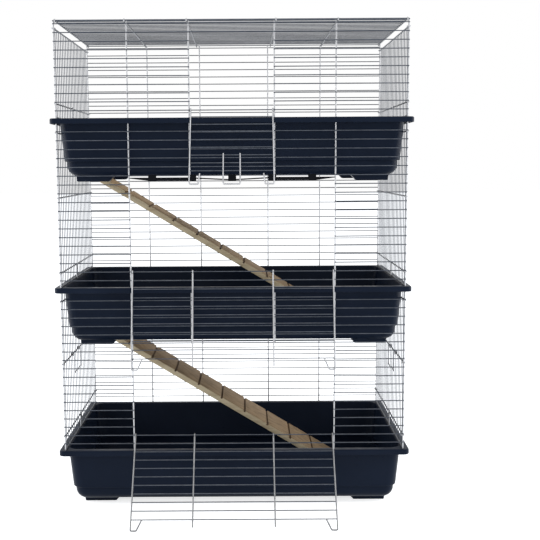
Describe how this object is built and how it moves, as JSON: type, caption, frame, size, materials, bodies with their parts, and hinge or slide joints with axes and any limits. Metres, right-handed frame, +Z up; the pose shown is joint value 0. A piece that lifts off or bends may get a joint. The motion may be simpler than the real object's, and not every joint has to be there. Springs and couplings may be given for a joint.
{
  "type": "rabbit cage",
  "caption": "Tall tiered rabbit cage of wire panels on moulded plastic trays, with drop-down wire doors and grooved wooden ramps between its floors.",
  "frame": {"origin": "on the floor, under the middle of the whole object with its doors hanging open", "axes": "+X to the right seen from the front, +Y to the back, +Z up; the doors are on the -Y side"},
  "size_m": [1, 0.7214, 1.3753],
  "materials": {
    "tray_plastic": "dark navy moulded plastic, slightly satin",
    "zinc_wire": "bright zinc-plated wire",
    "ramp_wood": "plain sawn softwood, unvarnished",
    "rod_steel": "plain steel",
    "clip_plastic": "black plastic"
  },
  "bodies": {
    "cage": {"bottom_tray": "tray_plastic", "middle_tray": "tray_plastic", "top_tray": "tray_plastic", "bottom_front_panel": "zinc_wire", "bottom_back_panel": "zinc_wire", "bottom_left_panel": "zinc_wire", "bottom_right_panel": "zinc_wire", "middle_front_panel": "zinc_wire", "middle_back_panel": "zinc_wire", "middle_left_panel": "zinc_wire", "middle_right_panel": "zinc_wire", "top_front_panel": "zinc_wire", "top_back_panel": "zinc_wire", "top_left_panel": "zinc_wire", "top_right_panel": "zinc_wire", "roof_panel": "zinc_wire", "left_side_loop": "zinc_wire", "right_side_loop": "zinc_wire", "lower_ramp_rod": "rod_steel", "upper_ramp_rod": "rod_steel", "opening_clips": "clip_plastic", "opening_strip": "clip_plastic"},
    "top_door": {"top_door": "zinc_wire"},
    "middle_door": {"middle_door": "zinc_wire"},
    "bottom_door": {"bottom_door": "zinc_wire"},
    "upper_ramp": {"upper_ramp": "ramp_wood"},
    "lower_ramp": {"lower_ramp": "ramp_wood"}
  },
  "joints": [
    {"name": "top_door_hinge", "type": "hinge", "parent": "cage", "child": "top_door", "pos_m": [0, -0.19134, 1.13], "axis": [-1, 0, 0], "range_deg": [0, 148.1]},
    {"name": "middle_door_hinge", "type": "hinge", "parent": "cage", "child": "middle_door", "pos_m": [0, -0.19134, 0.6862], "axis": [-1, 0, 0], "range_deg": [0, 162.8]},
    {"name": "bottom_door_hinge", "type": "hinge", "parent": "cage", "child": "bottom_door", "pos_m": [0, -0.19134, 0.2182], "axis": [-1, 0, 0], "range_deg": [0, 140.2]},
    {"name": "upper_ramp_hinge", "type": "hinge", "parent": "cage", "child": "upper_ramp", "pos_m": [-0.43, 0.15565, 0.9581], "axis": [0, -1, 0], "range_deg": [0, 25]},
    {"name": "lower_ramp_hinge", "type": "hinge", "parent": "cage", "child": "lower_ramp", "pos_m": [-0.43, 0.15565, 0.4901], "axis": [0, -1, 0], "range_deg": [0, 25]}
  ],
  "couplings": [
    {"joint": "bottom_door_hinge", "follows": "middle_door_hinge", "ratio": 0.861}
  ]
}
